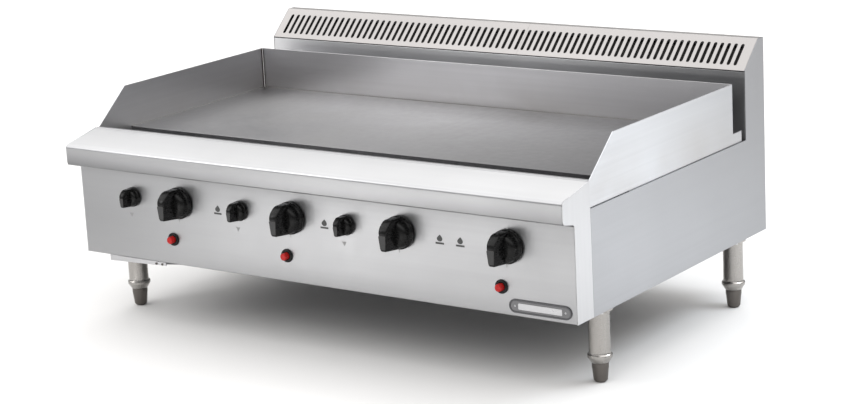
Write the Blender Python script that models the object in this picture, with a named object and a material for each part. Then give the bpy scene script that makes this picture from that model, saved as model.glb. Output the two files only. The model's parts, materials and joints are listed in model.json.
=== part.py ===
"""Table-top gas flat griddle with four burners, a splash guard, a grease tray and a flue riser.

Run with Blender 4.5 (blender --background --python part.py) or from its text editor.

Lengths below are millimetres in the body frame: X to the right, Y from the control panel's face
towards the back, Z up from the underside of the body. Meshes and places are turned into metres when
they are made, and every piece hangs from one empty that stands the body on its legs, so the world's
origin is on the floor under the middle of the object. Parts that touch are 0.3 mm apart.
"""

import math

import bmesh
import bpy
from mathutils import Matrix, Vector

MM = 0.001
GAP = 0.3

# Body
WIDTH = 1200
DEPTH = 734
SIDE_HEIGHT = 203
SHELF_WIDTH = 22
SHELF_Y = (196, 645)
PAN_FLANGE = 24
PAN_OPENING_X, PAN_OPENING_Y = (30, 120), (210, 560)
SHEET = 1.5
HALF = WIDTH / 2
INNER = HALF - SHEET - GAP

# Control console and rounded front rail
CONSOLE_DEPTH = 55
PANEL_HEIGHT = 185
PANEL_FLOOR_FOLD = 38
PANEL_TOP_FOLD = 14
LIP_REACH = 38
LIP_BOTTOM = 194
LIP_TOP = 235
RAIL_TOP = 254
RAIL_FLAT = 52
RAIL_BACK = 66
RAIL_DROP = 20
LIP_BEND = 8
LIP_CORNERS = [
    (0, PANEL_HEIGHT + 1),
    (-LIP_REACH, LIP_BOTTOM),
    (-LIP_REACH, LIP_TOP),
    (RAIL_FLAT, RAIL_TOP),
]

# Cooking plate, splash guard and grease trough
PLATE_TOP = 236
PLATE_THICKNESS = 16
PLATE_FRONT = 157
GUARD_SHEET = 2
GUARD_INSET = 3
GUARD_TOP = 325
GUARD_BACK = 604
GUARD_TAB = (640, 225)
GUARD_CUT = ((60, 254), (146, 325))
LEDGE_Z = 205
TROUGH_FLOOR = 162
TROUGH_BACK = 170
SPOUT_X, SPOUT_Y, SPOUT_RADIUS = -465, 124, 18

# Flue riser
RISER_FRONT = 653
RISER_SLOPE_FOOT = 343
RISER_SLOPE_BACK = 713
RISER_TOP = 398
RISER_FOLD = 15
GRILLE_JOINT = 60
SLOT_WIDTH = 7.5
SLOT_LENGTH = 54
SLOT_PLACE = 0.475
SLOT_GROUPS = {"left": (-576, 16.1, 40), "right": (68, 15.3, 34)}

# Legs and feet
LEG_HEIGHT = 144
LEG_X = 572
LEG_Y = (116, 641)
LEG_RADIUS = 20.5
FOOT_SHOWN = 38

# Controls on the panel
KNOB_X = (-332, -45, 216, 457)
KNOB_Z = 131.5
KNOB_RADIUS = 32.5
KNOB_REACH = 60
PILOT_X = (-458, -175, 89)
IGNITER_X = (-356, -62, 439)
IGNITER_Z = 53
PILOT_SCALE = 0.62
KNOB_STEM, PILOT_STEM = 4.2, 3.2
IGNITER_HOLE = 9.5
BADGE_SIZE = (134, 26)
BADGE_CENTRE = (521, 20)

# Gas train and burners
BURNER_X = (-405, -135, 135, 405)
BURNER_Y = (128, 600)
BURNER_Z = 122
BURNER_RADIUS = 20
MIXER_RADIUS = 14
PILOT_BURNER_OFFSET = -32
MANIFOLD_Y, MANIFOLD_Z, MANIFOLD_RADIUS = 42, 88, 10.5
MANIFOLD_RIGHT = 530
INLET_BACK = DEPTH + 18
VALVE_Y = (12, 56)

# Grease tray
TRAY_X = (-524, -396)
TRAY_LIP_X = (-540, -386)
TRAY_FRONT, TRAY_BACK = 4, 400
TRAY_TOP, TRAY_FLOOR = -3, -38
TRAY_HOOK = 6
TRAY_RAIL_Y = (46, 420)

STEEL = ((0.62, 0.62, 0.63), 0.32, 1.0)
PLATE_STEEL = ((0.42, 0.42, 0.43), 0.38, 1.0)
BRASS = ((0.78, 0.58, 0.25), 0.35, 1.0)
BLACK_PLASTIC = ((0.012, 0.012, 0.013), 0.25, 0.0)
RED_PLASTIC = ((0.65, 0.03, 0.025), 0.3, 0.0)
DARK_STEEL = ((0.22, 0.21, 0.2), 0.45, 1.0)
PIPE_BLACK = ((0.05, 0.05, 0.05), 0.5, 0.0)
ALUMINISED = ((0.5, 0.5, 0.49), 0.5, 1.0)
BADGE_METAL = ((0.3, 0.3, 0.31), 0.35, 1.0)


def clear_scene():
    for old in list(bpy.data.objects):
        bpy.data.objects.remove(old, do_unlink=True)


def body_empty():
    """The empty that carries the body frame; the knobs and the gas inlet are the furthest front and back."""
    stand = bpy.data.objects.new("stand", None)
    bpy.context.scene.collection.objects.link(stand)
    middle = (INLET_BACK - KNOB_REACH) / 2
    stand.location = Vector((0, -middle, LEG_HEIGHT)) * MM
    return stand


# ---------------------------------------------------------------- outlines


def rounded(points, radius, steps):
    """The open path through `points` with each corner between its ends turned into an arc."""
    corners = [Vector(p) for p in points]
    path = corners[:1]
    for before, corner, after in zip(corners, corners[1:], corners[2:]):
        back = (before - corner).normalized()
        ahead = (after - corner).normalized()
        half = back.angle(ahead) / 2
        centre = corner + (back + ahead).normalized() * (radius / math.sin(half))
        first = corner + back * (radius / math.tan(half)) - centre
        last = corner + ahead * (radius / math.tan(half)) - centre
        turn = first.angle(last)
        for step in range(steps + 1):
            part = step / steps
            blend = first * math.sin((1 - part) * turn) + last * math.sin(part * turn)
            path.append(centre + blend / math.sin(turn))
    return path + corners[-1:]


def strip(path, thickness):
    """The outline of a folded sheet: `path` is its outer face, and its thickness is on the path's left."""
    points = [Vector(p) for p in path]
    inner = []
    for i, point in enumerate(points):
        normals = []
        for a, b in zip(points[max(i - 1, 0) : i + 1], points[max(i, 1) : i + 2]):
            along = (b - a).normalized()
            normals.append(Vector((-along.y, along.x)))
        middle = sum(normals, Vector((0, 0))).normalized()
        inner.append(point + middle * (thickness / middle.dot(normals[0])))
    return points + inner[::-1]


def rectangle(a, b):
    return [(a[0], a[1]), (b[0], a[1]), (b[0], b[1]), (a[0], b[1])]


def stadium(length, width, steps):
    """A slot outline about the origin, its length along the second axis, each end in `steps` sides."""
    radius = width / 2
    turns = [math.pi * step / steps for step in range(steps + 1)]
    end = [(radius * math.cos(t), length / 2 - radius + radius * math.sin(t)) for t in turns]
    return end + [(-x, -y) for x, y in end]


# ---------------------------------------------------------------- shapes (bmesh, millimetres)


def prism(outline, axis, low, high):
    """An outline drawn across one axis and extruded along it; its points keep the X, Y, Z order."""
    spot = {
        "X": lambda a, b: (low, a, b),
        "Y": lambda a, b: (a, low, b),
        "Z": lambda a, b: (a, b, low),
    }[axis]
    bm = bmesh.new()
    face = bm.faces.new([bm.verts.new(spot(*point)) for point in outline])
    grown = bmesh.ops.extrude_face_region(bm, geom=[face])["geom"]
    moved = [item for item in grown if isinstance(item, bmesh.types.BMVert)]
    step = Vector([(high - low) * (axis == name) for name in "XYZ"])
    bmesh.ops.translate(bm, verts=moved, vec=step)
    bmesh.ops.recalc_face_normals(bm, faces=bm.faces)
    return bm


def box(low, high):
    return prism(rectangle(low[:2], high[:2]), "Z", low[2], high[2])


def turned(profile, axis, centre, segments=16):
    """A closed profile of (radius, distance along the axis) points spun round that axis."""
    bm = bmesh.new()
    verts = [bm.verts.new((radius, 0, along)) for radius, along in profile]
    edges = [bm.edges.new(pair) for pair in zip(verts, verts[1:])]
    if min(profile[0][0], profile[-1][0]) > 0:
        edges.append(bm.edges.new((verts[-1], verts[0])))
    bmesh.ops.spin(
        bm, geom=verts + edges, axis=(0, 0, 1), angle=2 * math.pi, steps=segments, use_merge=True
    )
    bmesh.ops.remove_doubles(bm, verts=bm.verts, dist=0.001)
    turn = {"X": ("Y", 90), "Y": ("X", -90), "Z": ("Z", 0)}[axis]
    spin = Matrix.Rotation(math.radians(turn[1]), 4, turn[0])
    bm.transform(Matrix.Translation(centre) @ spin)
    bmesh.ops.recalc_face_normals(bm, faces=bm.faces)
    return bm


def rod(radius, axis, centre, low, high, segments=12):
    """A plain cylinder from low to high along its axis; centre gives the other two coordinates."""
    return turned([(0, low), (radius, low), (radius, high), (0, high)], axis, centre, segments)


def pipe(points, radius, bend, sides=6):
    """A round tube with filled ends along a path whose corners are bent."""
    curve = bpy.data.curves.new("pipe", "CURVE")
    curve.dimensions = "3D"
    curve.bevel_depth = radius
    curve.bevel_resolution = sides // 2 - 2
    curve.use_fill_caps = True
    path = rounded(points, bend, 3)
    spline = curve.splines.new("POLY")
    spline.points.add(len(path) - 1)
    for target, point in zip(spline.points, path):
        target.co = (*point, 1)
    guide = bpy.data.objects.new("pipe", curve)
    bpy.context.scene.collection.objects.link(guide)
    bm = bmesh.new()
    mesh = bpy.data.meshes.new_from_object(guide.evaluated_get(bpy.context.evaluated_depsgraph_get()))
    bm.from_mesh(mesh)
    bpy.data.objects.remove(guide, do_unlink=True)
    bmesh.ops.remove_doubles(bm, verts=bm.verts, dist=0.001)
    bmesh.ops.recalc_face_normals(bm, faces=bm.faces)
    return bm


def together(shapes):
    """Several separate shapes in one bmesh, for a cutter that makes many holes."""
    whole = bmesh.new()
    for shape in shapes:
        mesh = bpy.data.meshes.new("part")
        shape.to_mesh(mesh)
        whole.from_mesh(mesh)
        bpy.data.meshes.remove(mesh)
        shape.free()
    return whole


# ---------------------------------------------------------------- objects


def place(name, bm, origin=(0, 0, 0)):
    """An object from a bmesh in the body frame, with its own origin at `origin`."""
    bm.transform(Matrix.Scale(MM, 4) @ Matrix.Translation(-Vector(origin)))
    mesh = bpy.data.meshes.new(name)
    bm.to_mesh(mesh)
    bm.free()
    made = bpy.data.objects.new(name, mesh)
    bpy.context.scene.collection.objects.link(made)
    made.parent = STAND
    made.location = Vector(origin) * MM
    return made


def piece(name, look, bm, origin=(0, 0, 0), smooth=None):
    """A visible piece with its own material; round pieces are shaded smooth up to `smooth` degrees."""
    made = place(name, bm, origin)
    colour, roughness, metallic = look
    material = bpy.data.materials.new(name)
    material.use_nodes = True
    shader = material.node_tree.nodes["Principled BSDF"]
    shader.inputs["Base Color"].default_value = (*colour, 1)
    shader.inputs["Roughness"].default_value = roughness
    shader.inputs["Metallic"].default_value = metallic
    made.data.materials.append(material)
    if smooth:
        made.data.shade_smooth()
        made.data.set_sharp_from_angle(angle=math.radians(smooth))
    return made


def combine(target, bm, operation):
    """Adds a shape to a piece (UNION) or takes it away (DIFFERENCE)."""
    helper = place(f"{target.name}_{operation.lower()}", bm)
    helper.hide_render = True
    helper.display_type = "WIRE"
    modifier = target.modifiers.new(operation.title(), "BOOLEAN")
    modifier.operation = operation
    modifier.solver = "EXACT"
    modifier.object = helper


def add(target, bm):
    combine(target, bm, "UNION")


def cut(target, bm):
    combine(target, bm, "DIFFERENCE")


# ---------------------------------------------------------------- casing


def rail_path():
    """The outer face of the front rail from under its lip, over the top, to its back drop."""
    corners = [(PANEL_TOP_FOLD, PANEL_HEIGHT + 1), *LIP_CORNERS, (RAIL_BACK, RAIL_TOP)]
    return rounded(corners, LIP_BEND, 4) + [Vector((RAIL_BACK, RAIL_TOP - RAIL_DROP))]


def side_panels():
    outline = [
        (CONSOLE_DEPTH + GAP, 0),
        (DEPTH, 0),
        (DEPTH, RISER_TOP),
        (RISER_SLOPE_BACK, RISER_TOP),
        (RISER_FRONT, RISER_SLOPE_FOOT),
        (RISER_FRONT, SIDE_HEIGHT),
        (CONSOLE_DEPTH + GAP, SIDE_HEIGHT),
    ]
    for side, sign in (("left", -1), ("right", 1)):
        low, high = sorted((sign * (HALF - SHEET), sign * HALF))
        panel = piece(f"side_panel_{side}", STEEL, prism(outline, "X", low, high))
        inner, outer = sorted((sign * (HALF - SHEET / 2), sign * (HALF - SHELF_WIDTH)))
        front, back = SHELF_Y
        add(panel, box((inner, front, SIDE_HEIGHT - SHEET), (outer, back, SIDE_HEIGHT)))


def console():
    top = PANEL_HEIGHT - 1
    fold = [(PANEL_FLOOR_FOLD, 0), (0, 0), (0, top), (PANEL_TOP_FOLD, top)]
    face = strip(fold, -SHEET)
    panel = piece("control_panel", STEEL, prism(face, "X", -INNER, INNER))
    holes = [rod(KNOB_STEM + 1.8, "Y", (x, 0, KNOB_Z), -5, 5) for x in KNOB_X]
    holes += [rod(PILOT_STEM + 1.8, "Y", (x, 0, KNOB_Z), -5, 5) for x in PILOT_X]
    holes += [rod(IGNITER_HOLE, "Y", (x, 0, IGNITER_Z), -5, 5) for x in IGNITER_X]
    cut(panel, together(holes))

    outline = rounded([(0, 0), *LIP_CORNERS, (CONSOLE_DEPTH, RAIL_TOP)], LIP_BEND, 4)
    outline.append(Vector((CONSOLE_DEPTH, 0)))
    for side, sign in (("left", -1), ("right", 1)):
        low, high = sorted((sign * (HALF - SHEET), sign * HALF))
        piece(f"console_end_{side}", STEEL, prism(outline, "X", low, high), smooth=30)

    rail = piece(
        "bullnose_rail", STEEL, prism(strip(rail_path(), -SHEET), "X", -INNER, INNER), smooth=30
    )
    guard_face = HALF - GUARD_INSET - GUARD_SHEET - GAP
    notches = [
        box((low, CONSOLE_DEPTH, 180), (high, RAIL_BACK + 5, 300))
        for low, high in ((-HALF, -guard_face), (guard_face, HALF))
    ]
    cut(rail, together(notches))

    length, height = BADGE_SIZE
    badge = [(y + BADGE_CENTRE[0], x + BADGE_CENTRE[1]) for x, y in stadium(length, height, 6)]
    piece("name_badge", BADGE_METAL, prism(badge, "Y", -1.8, -GAP))


def bottom_panel():
    front, back = PANEL_FLOOR_FOLD + GAP, DEPTH - SHEET - GAP
    pan = strip([(-INNER, PAN_FLANGE), (-INNER, 0), (INNER, 0), (INNER, PAN_FLANGE)], SHEET)
    floor = piece("bottom_panel", STEEL, prism(pan, "Y", front, back))
    (left, right), (near, far) = PAN_OPENING_X, PAN_OPENING_Y
    openings = [box((x + left, near, -9), (x + right, far, 9)) for x in BURNER_X]
    openings.append(rod(SPOUT_RADIUS + 4, "Z", (SPOUT_X, SPOUT_Y, 0), -9, 9, 16))
    cut(floor, together(openings))


def back_panel():
    low, high = DEPTH - SHEET, DEPTH
    wall = rectangle((-INNER, GAP), (INNER, RISER_TOP - RISER_FOLD - 0.8))
    panel = piece("back_panel", STEEL, prism(wall, "Y", low, high))
    cut(panel, rod(MANIFOLD_RADIUS + 4, "Y", (MANIFOLD_RIGHT, 0, MANIFOLD_Z), low - 9, high + 9))


# ---------------------------------------------------------------- cooking surface


def cooking_surface():
    inside = HALF - GUARD_INSET - GUARD_SHEET - GAP
    low, high = PLATE_TOP - PLATE_THICKNESS, PLATE_TOP
    rear = GUARD_BACK - GUARD_SHEET - GAP
    piece("griddle_plate", PLATE_STEEL, box((-inside, PLATE_FRONT, low), (inside, rear, high)))

    bottom = SIDE_HEIGHT + GAP
    outline = [
        (CONSOLE_DEPTH + GAP, bottom),
        (GUARD_TAB[0], bottom),
        GUARD_TAB,
        (GUARD_BACK, GUARD_TAB[1]),
        (GUARD_BACK, GUARD_TOP),
        GUARD_CUT[1],
        GUARD_CUT[0],
        (CONSOLE_DEPTH + GAP, GUARD_CUT[0][1]),
    ]
    for side, sign in (("left", -1), ("right", 1)):
        outer = sign * (HALF - GUARD_INSET)
        span = sorted((outer, outer - sign * GUARD_SHEET))
        piece(f"splash_guard_{side}", STEEL, prism(outline, "X", *span))

    ledge = [(GUARD_TAB[0], LEDGE_Z), (GUARD_BACK, LEDGE_Z), (GUARD_BACK, GUARD_TOP)]
    piece("splash_guard_rear", STEEL, prism(strip(ledge, -GUARD_SHEET), "X", -inside, inside))


def grease_trough():
    inside = HALF - GUARD_INSET - GUARD_SHEET - 2 * GAP
    front = RAIL_BACK + GAP
    brim = RAIL_TOP - 4
    under_plate = PLATE_TOP - PLATE_THICKNESS - GAP
    gutter = strip(
        [(front, brim), (front, TROUGH_FLOOR), (TROUGH_BACK, TROUGH_FLOOR), (TROUGH_BACK, under_plate)],
        SHEET,
    )
    trough = piece("grease_trough", STEEL, prism(gutter, "X", -inside, inside))
    wall = rectangle((front + 0.5, TROUGH_FLOOR + 0.5), (TROUGH_BACK - 0.5, under_plate - 0.5))
    add(trough, prism(wall, "X", -inside, SHEET - inside))
    add(trough, prism(wall, "X", inside - SHEET, inside))
    add(trough, rod(SPOUT_RADIUS, "Z", (SPOUT_X, SPOUT_Y, 0), -1.5, TROUGH_FLOOR + 1))
    cut(trough, rod(SPOUT_RADIUS - 1.5, "Z", (SPOUT_X, SPOUT_Y, 0), -9, TROUGH_FLOOR + 9))


# ---------------------------------------------------------------- flue riser


def slot_cutter(group):
    """Round-ended slots that run up the sloping face, square to it."""
    start, pitch, count = SLOT_GROUPS[group]
    run = Vector((RISER_SLOPE_BACK - RISER_FRONT, RISER_TOP - RISER_SLOPE_FOOT))
    lean = Matrix.Rotation(math.atan2(run.y, run.x), 4, "X")
    middle = (RISER_FRONT + run.x * SLOT_PLACE, RISER_SLOPE_FOOT + run.y * SLOT_PLACE)
    slots = []
    for i in range(count):
        slot = prism(stadium(SLOT_LENGTH, SLOT_WIDTH, 2), "Z", -8, 8)
        slot.transform(Matrix.Translation((start + i * pitch, *middle)) @ lean)
        slots.append(slot)
    return together(slots)


def flue():
    front = rectangle((RISER_FRONT, 150), (RISER_FRONT + SHEET, RISER_SLOPE_FOOT - 2.5))
    piece("flue_front_panel", STEEL, prism(front, "X", -INNER, INNER))
    folded = [
        (RISER_FRONT, RISER_SLOPE_FOOT),
        (RISER_SLOPE_BACK, RISER_TOP),
        (DEPTH, RISER_TOP),
        (DEPTH, RISER_TOP - RISER_FOLD),
    ]
    spans = {"left": (-INNER, GRILLE_JOINT - GAP), "right": (GRILLE_JOINT, INNER)}
    for side, span in spans.items():
        sheet = prism(strip(folded, -SHEET), "X", *span)
        grille = piece(f"flue_grille_{side}", STEEL, sheet)
        cut(grille, slot_cutter(side))


# ---------------------------------------------------------------- legs and feet


def legs():
    collar = FOOT_SHOWN - LEG_HEIGHT
    tube = [
        (0, -GAP),
        (27, -GAP),
        (27, -4),
        (LEG_RADIUS, -4),
        (LEG_RADIUS, collar + 22),
        (24, collar + 18),
        (24, collar + 11),
        (16.5, collar),
        (11, collar),
        (11, collar + 70),
        (0, collar + 70),
    ]
    tip = FOOT_SHOWN - GAP
    foot = [
        (0, 0),
        (9, 0),
        (13, 4),
        (16, tip - 10),
        (16, tip),
        (10.5, tip),
        (10.5, tip + 60),
        (0, tip + 60),
    ]
    corners = [("front_left", -1, 0), ("front_right", 1, 0), ("rear_left", -1, 1), ("rear_right", 1, 1)]
    for name, sign, row in corners:
        spot = (sign * LEG_X, LEG_Y[row], 0)
        ground = (spot[0], spot[1], -LEG_HEIGHT)
        piece(f"leg_{name}", STEEL, turned(tube, "Z", spot), spot, smooth=30)
        piece(f"foot_{name}", DARK_STEEL, turned(foot, "Z", ground), ground, smooth=30)


# ---------------------------------------------------------------- grease tray


def grease_tray():
    left, right = TRAY_X
    wall = SHEET
    outer = [
        (TRAY_FRONT, TRAY_TOP),
        (TRAY_FRONT, -6),
        (125, TRAY_FLOOR),
        (TRAY_BACK, TRAY_FLOOR),
        (TRAY_BACK, TRAY_TOP),
    ]
    inner = [
        (TRAY_FRONT + wall, 5),
        (TRAY_FRONT + wall, -4.9),
        (125.3, TRAY_FLOOR + wall),
        (TRAY_BACK - wall, TRAY_FLOOR + wall),
        (TRAY_BACK - wall, 5),
    ]
    tray = piece("grease_tray", STEEL, prism(outer, "X", left, right))
    hooks = box((left - TRAY_HOOK, 22, TRAY_TOP - wall), (right + TRAY_HOOK, TRAY_BACK - 0.5, TRAY_TOP))
    add(tray, hooks)
    lip_left, lip_right = TRAY_LIP_X
    lip = [(lip_left, -1), (lip_left, -13), (lip_right, -8), (lip_right, -1)]
    add(tray, prism(lip, "Y", TRAY_FRONT - 1.2, TRAY_FRONT + 0.6))
    cut(tray, prism(inner, "X", left + wall, right - wall))

    for side, edge, sign in (("left", left, -1), ("right", right, 1)):
        ledge = edge + sign * 1.2
        web = edge + sign * (TRAY_HOOK + 2)
        hung = -GAP - SHEET
        profile = [(ledge, -6.4), (web, -6.4), (web, hung), (web + sign * 8, hung)]
        outline = strip(profile, sign * SHEET)
        piece(f"tray_rail_{side}", STEEL, prism(outline, "Y", *TRAY_RAIL_Y))


# ---------------------------------------------------------------- gas train


def manifold():
    route = [
        (-500, MANIFOLD_Y, MANIFOLD_Z),
        (MANIFOLD_RIGHT, MANIFOLD_Y, MANIFOLD_Z),
        (MANIFOLD_RIGHT, INLET_BACK, MANIFOLD_Z),
    ]
    main = piece("gas_manifold", PIPE_BLACK, pipe(route, MANIFOLD_RADIUS, 24, 12), smooth=40)
    bosses = [rod(8, "Z", (x, MANIFOLD_Y, 0), MANIFOLD_Z, MANIFOLD_Z + 16, 10) for x in KNOB_X]
    bosses += [rod(6, "Z", (x, MANIFOLD_Y, 0), MANIFOLD_Z, MANIFOLD_Z + 16, 10) for x in PILOT_X]
    add(main, together(bosses))
    cut(main, rod(7.5, "Y", (MANIFOLD_RIGHT, 0, MANIFOLD_Z), INLET_BACK - 45, INLET_BACK + 5))


def valve(name, x, target, width, nipple, tube):
    """A tap on the manifold: body, front nose that takes the stem, and the tube it feeds."""
    top = KNOB_Z + width
    front, back = VALVE_Y
    made = piece(name, BRASS, box((x - width, front + 8, KNOB_Z - width), (x + width, back, top)))
    add(made, rod(width * 0.8, "Y", (x, 0, KNOB_Z), front, front + 9))
    add(made, rod(nipple, "Z", (x, MANIFOLD_Y, 0), MANIFOLD_Z + 16 + GAP, KNOB_Z, 10))
    route = [(x, back - 4, KNOB_Z), (x, back + 16, KNOB_Z), *target]
    add(made, pipe(route, tube, 7))
    return made


def gas_valves():
    for i, (x, burner) in enumerate(zip(KNOB_X, BURNER_X), 1):
        target = [(burner, 100, BURNER_Z), (burner, BURNER_Y[0] - 6, BURNER_Z)]
        made = valve(f"gas_valve_{i}", x, target, 13, 8, 4)
        cut(made, rod(KNOB_STEM + 0.4, "Y", (x, 0, KNOB_Z), VALVE_Y[0] - 5, VALVE_Y[0] + 18))
    for i, (x, burner) in enumerate(zip(PILOT_X, BURNER_X), 1):
        lane = burner + PILOT_BURNER_OFFSET
        target = [(lane, 94, KNOB_Z), (lane, 200 - GAP, KNOB_Z)]
        made = valve(f"pilot_valve_{i}", x, target, 9, 6, 2.5)
        cut(made, rod(PILOT_STEM + 0.4, "Y", (x, 0, KNOB_Z), VALVE_Y[0] - 5, VALVE_Y[0] + 18))
        tip = piece(f"pilot_burner_{i}", BRASS, box((lane - 5, 200, KNOB_Z - 6), (lane + 5, 216, KNOB_Z + 6)))
        add(tip, rod(4, "Z", (lane, 208, 0), KNOB_Z, KNOB_Z + 26, 10))
        add(tip, box((lane - 5, 212, KNOB_Z - 40), (lane + 5, 214, KNOB_Z)))


def burners():
    front, back = BURNER_Y
    hollow = 1.5
    shell = [
        (MIXER_RADIUS, front),
        (MIXER_RADIUS, front + 55),
        (BURNER_RADIUS, front + 75),
        (BURNER_RADIUS, back),
        (0, back),
        (0, back - hollow),
        (BURNER_RADIUS - hollow, back - hollow),
        (BURNER_RADIUS - hollow, front + 75),
        (MIXER_RADIUS - hollow, front + 55),
        (MIXER_RADIUS - hollow, front),
    ]
    for i, x in enumerate(BURNER_X, 1):
        centre = (x, 0, BURNER_Z)
        profile = shell[5:] + shell[:5]
        burner = piece(f"burner_{i}", ALUMINISED, turned(profile, "Y", centre, 12), smooth=35)
        foot = box((x - 12, back - 30, 1.5 + GAP), (x + 12, back - 28, BURNER_Z - BURNER_RADIUS + 1))
        add(burner, foot)
        holes = [box((x - 30, front + 8, BURNER_Z - 5), (x + 30, front + 26, BURNER_Z + 5))]
        for n in range(6):
            start = front + 104 + 60 * n
            holes.append(box((x - 12, start, BURNER_Z + 8), (x + 12, start + 5, BURNER_Z + 30)))
        cut(burner, together(holes))

        ring = [
            (MIXER_RADIUS + 1, front + 4),
            (MIXER_RADIUS + 2.5, front + 4),
            (MIXER_RADIUS + 2.5, front + 30),
            (MIXER_RADIUS + 1, front + 30),
        ]
        origin = (x, front + 17, BURNER_Z)
        shutter = piece(f"air_shutter_{i}", STEEL, turned(ring, "Y", centre, 12), origin, smooth=35)
        cut(shutter, box((x - 30, front + 9, BURNER_Z - 6), (x + 30, front + 25, BURNER_Z + 6)))


# ---------------------------------------------------------------- controls


def knob(name, x, scale, stem):
    """Skirt, domed body, a tapered grip ridge that points down, and the stem that enters the tap."""
    reach = KNOB_REACH * scale
    radius = KNOB_RADIUS * scale
    origin = (x, 0, KNOB_Z)
    dome = [
        (0, VALVE_Y[0] + 12),
        (stem, VALVE_Y[0] + 12),
        (stem, -2),
        (radius - 1, -2),
        (radius, -3),
        (radius, -9 * scale),
        (radius - 2 * scale, -10 * scale),
        (radius - 4 * scale, -20 * scale),
        (radius - 9 * scale, -25 * scale),
        (0, -27 * scale),
    ]
    made = piece(name, BLACK_PLASTIC, turned(dome, "Y", origin), origin, smooth=35)
    side = [
        (-8 * scale, 30 * scale),
        (-38 * scale, 30 * scale),
        (-52 * scale, 25 * scale),
        (-reach, 15 * scale),
        (-reach + 2 * scale, -24 * scale),
        (-14 * scale, -31 * scale),
        (-8 * scale, -30 * scale),
    ]
    grip = prism([(y, z + KNOB_Z) for y, z in side], "X", x - 10 * scale, x + 10 * scale)
    for vert in grip.verts:
        taper = 1 - 0.3 * (KNOB_Z + 30 * scale - vert.co.z) / (60 * scale)
        vert.co.x = x + (vert.co.x - x) * taper
    add(made, grip)


def controls():
    for i, x in enumerate(KNOB_X, 1):
        knob(f"control_knob_{i}", x, 1, KNOB_STEM)
    for i, x in enumerate(PILOT_X, 1):
        knob(f"pilot_knob_{i}", x, PILOT_SCALE, PILOT_STEM)

    bezel = [
        (13.5, -GAP),
        (13.5, -3),
        (12.5, -4),
        (7.6, -4),
        (7.6, 22),
        (0, 22),
        (0, 44),
        (8.8, 44),
        (8.8, -GAP),
    ]
    button = [(0, 13), (7.2, 13), (7.2, -12), (5.5, -14.5), (0, -14.5)]
    for i, x in enumerate(IGNITER_X, 1):
        origin = (x, 0, IGNITER_Z)
        holder = turned(bezel[6:] + bezel[:6], "Y", origin)
        piece(f"igniter_body_{i}", BLACK_PLASTIC, holder, smooth=30)
        piece(f"igniter_button_{i}", RED_PLASTIC, turned(button, "Y", origin), origin, smooth=30)


clear_scene()
STAND = body_empty()
side_panels()
console()
bottom_panel()
back_panel()
cooking_surface()
grease_trough()
flue()
legs()
grease_tray()
manifold()
gas_valves()
burners()
controls()
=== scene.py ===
"""The look of a table-top gas flat griddle on a pale studio floor.

Metres throughout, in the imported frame: X to the right, Y from the control panel towards the back, Z up
from the floor. Places and sizes of the object come from its nodes' boxes and its joints. Small shapes are
drawn in millimetres and turned into metres when they are made.
"""

import json
import math

import bmesh
import bpy
from mathutils import Matrix, Vector

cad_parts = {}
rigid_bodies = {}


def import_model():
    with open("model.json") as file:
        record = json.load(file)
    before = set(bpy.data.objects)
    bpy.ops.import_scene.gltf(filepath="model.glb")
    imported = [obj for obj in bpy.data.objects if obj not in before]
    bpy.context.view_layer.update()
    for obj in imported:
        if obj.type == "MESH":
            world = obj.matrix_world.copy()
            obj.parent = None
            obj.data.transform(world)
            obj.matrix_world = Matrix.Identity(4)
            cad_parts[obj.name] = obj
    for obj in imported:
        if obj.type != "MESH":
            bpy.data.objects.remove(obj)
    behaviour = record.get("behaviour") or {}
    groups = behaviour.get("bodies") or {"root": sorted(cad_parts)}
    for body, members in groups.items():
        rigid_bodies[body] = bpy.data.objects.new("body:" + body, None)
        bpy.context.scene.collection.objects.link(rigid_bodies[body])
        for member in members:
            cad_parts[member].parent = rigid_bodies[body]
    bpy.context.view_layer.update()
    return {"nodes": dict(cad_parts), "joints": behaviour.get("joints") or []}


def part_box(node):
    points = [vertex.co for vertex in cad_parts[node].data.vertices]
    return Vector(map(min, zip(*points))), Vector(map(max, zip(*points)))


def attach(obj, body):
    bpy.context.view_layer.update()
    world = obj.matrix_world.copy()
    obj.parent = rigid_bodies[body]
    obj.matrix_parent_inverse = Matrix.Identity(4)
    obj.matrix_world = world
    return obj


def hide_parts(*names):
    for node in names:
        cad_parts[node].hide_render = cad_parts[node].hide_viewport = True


MM = 0.001

for old in list(bpy.data.objects):
    bpy.data.objects.remove(old, do_unlink=True)
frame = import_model()
NODES = frame["nodes"]
PANEL_LOW, PANEL_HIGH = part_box("control_panel")
FRONT = PANEL_LOW.y
BODY_FLOOR = PANEL_LOW.z
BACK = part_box("back_panel")[1].y
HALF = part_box("side_panel_right")[1].x
PIVOT = {joint["child"]: Vector(joint["pos_m"]) for joint in frame["joints"] if "pos_m" in joint}

OUT_OF_PANEL = Matrix.Rotation(math.radians(90), 4, "X")
OUT_OF_BACK = Matrix.Rotation(math.pi, 4, "Z") @ OUT_OF_PANEL
UPWARDS = Matrix.Identity(4)
DOWNWARDS = Matrix.Rotation(math.pi, 4, "X")
ALONG_X = Matrix(((0, 0, 1, 0), (1, 0, 0, 0), (0, 1, 0, 0), (0, 0, 0, 1)))
SHEET = 1.5


# ---------------------------------------------------------------- studio

CAMERA_PLACE = (2.652, -3.616, 1.347)
CAMERA_AZIMUTH, CAMERA_ELEVATION, CAMERA_ROLL = 36.0, 14.0, -3.05
LENS, SENSOR = 95.42, 36
POOL_HEIGHT = 3.2
# Place on the floor, reach and power of each pool of light
POOLS = (
    ((-0.50, -1.06), 0.42, 760),
    ((0.15, -1.2), 0.7, 330),
    ((-0.90, -1.75), 0.8, 900),
)


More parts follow.
